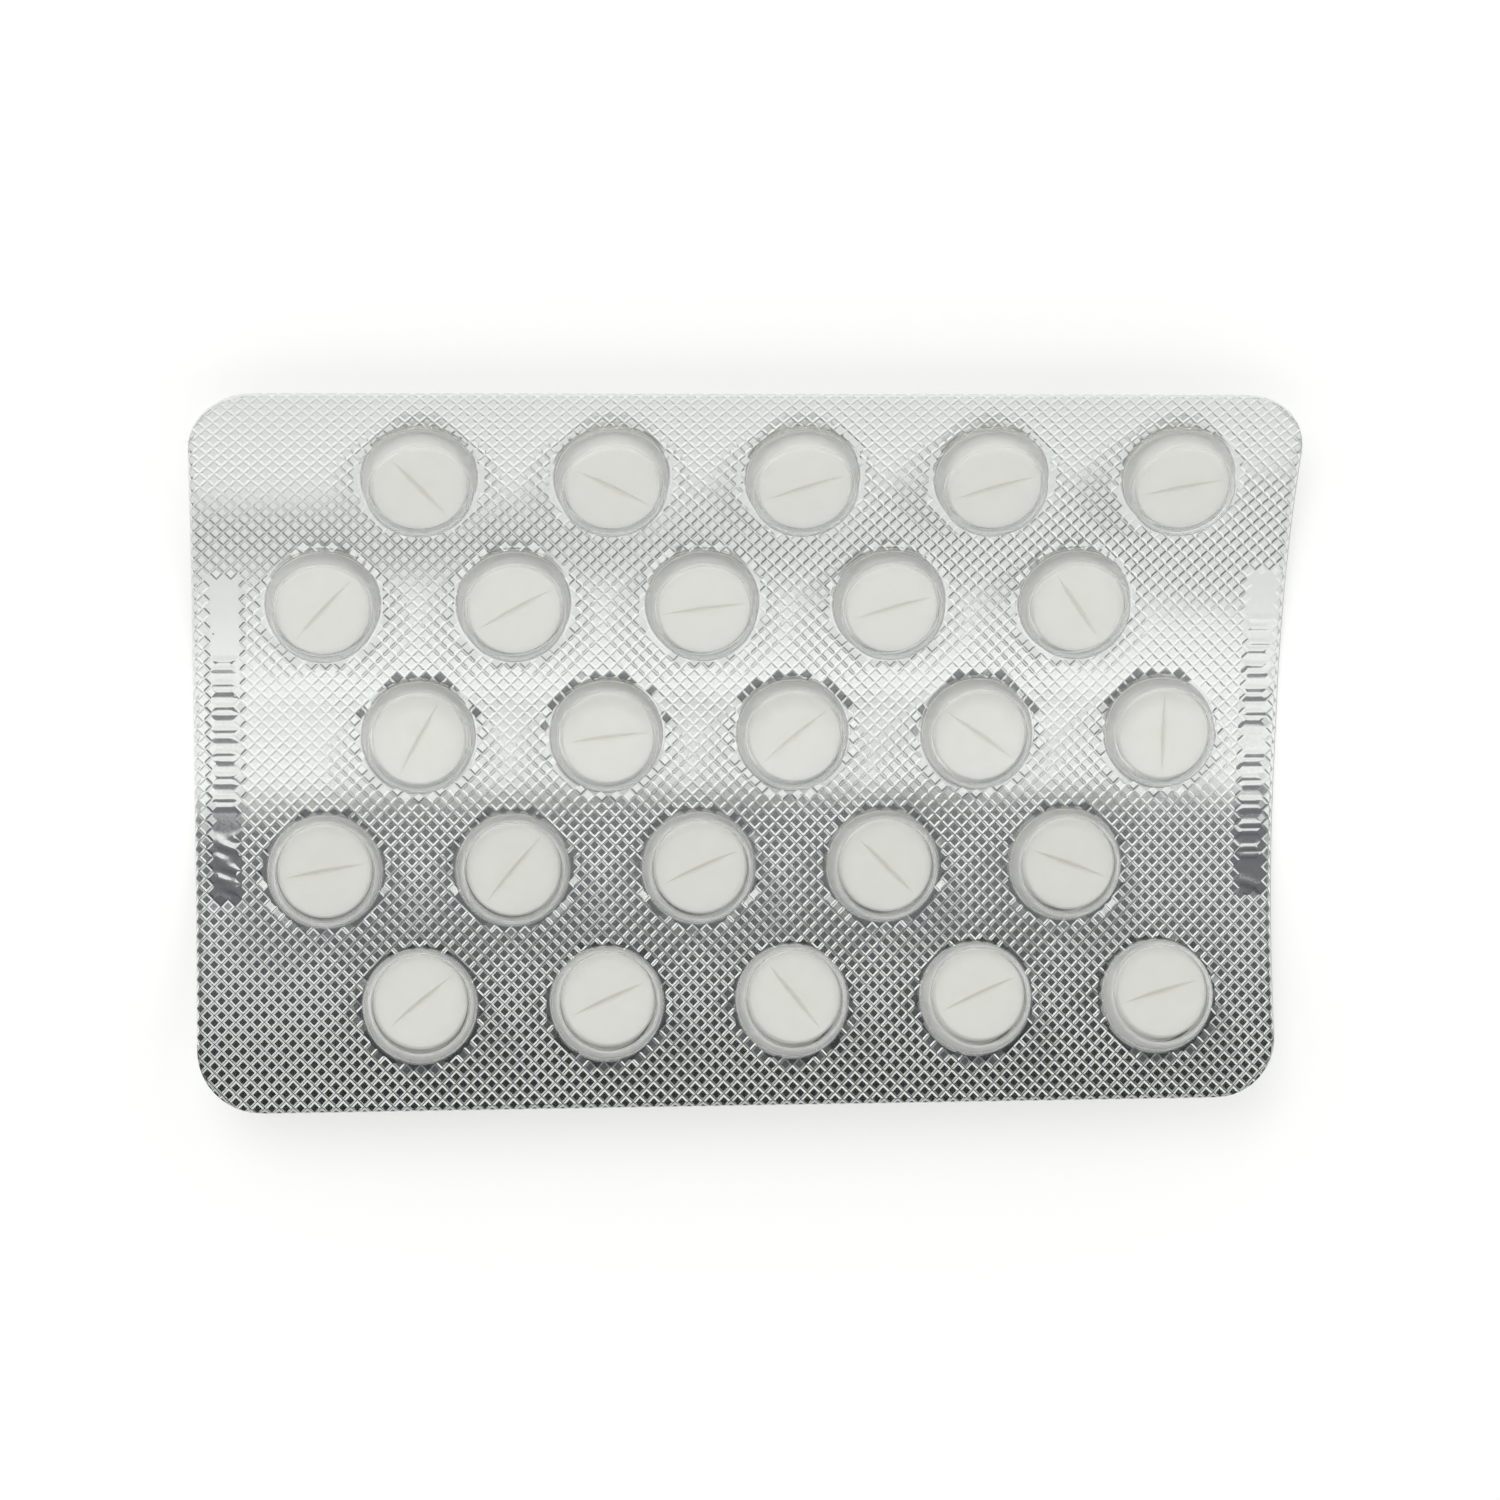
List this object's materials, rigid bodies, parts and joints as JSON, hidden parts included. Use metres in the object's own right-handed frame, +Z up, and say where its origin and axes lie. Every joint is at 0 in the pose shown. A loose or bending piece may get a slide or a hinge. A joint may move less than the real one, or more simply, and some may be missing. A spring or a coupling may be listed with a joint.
{
  "type": "tablet blister pack",
  "caption": "Curled blister card of round scored tablets: clear formed film with staggered pockets, sealed to a knurled foil.",
  "frame": {"origin": "centre of the card's outline, on the surface that it lies on", "axes": "+Z up, away from the foil; +X along the card's long edges; +Y across the rows, towards the row that starts half a pitch to the right"},
  "size_m": [0.0874, 0.0576, 0.0072],
  "materials": {
    "film": "clear thermoformed rigid PVC sheet, glossy, faintly bluish at its edges",
    "foil": "hard tempered aluminium lidding foil, bright, pressed with a fine diamond sealing pattern",
    "tablet": "pressed powder, warm white and matte, uncoated"
  },
  "bodies": {
    "root": {"blister_film": "film", "lidding_foil": "foil", "tablet_1_1": "tablet", "tablet_1_2": "tablet", "tablet_1_3": "tablet", "tablet_1_4": "tablet", "tablet_1_5": "tablet", "tablet_2_1": "tablet", "tablet_2_2": "tablet", "tablet_2_3": "tablet", "tablet_2_4": "tablet", "tablet_2_5": "tablet", "tablet_3_1": "tablet", "tablet_3_2": "tablet", "tablet_3_3": "tablet", "tablet_3_4": "tablet", "tablet_3_5": "tablet", "tablet_4_1": "tablet", "tablet_4_2": "tablet", "tablet_4_3": "tablet", "tablet_4_4": "tablet", "tablet_4_5": "tablet", "tablet_5_1": "tablet", "tablet_5_2": "tablet", "tablet_5_3": "tablet", "tablet_5_4": "tablet", "tablet_5_5": "tablet"}
  },
  "joints": []
}
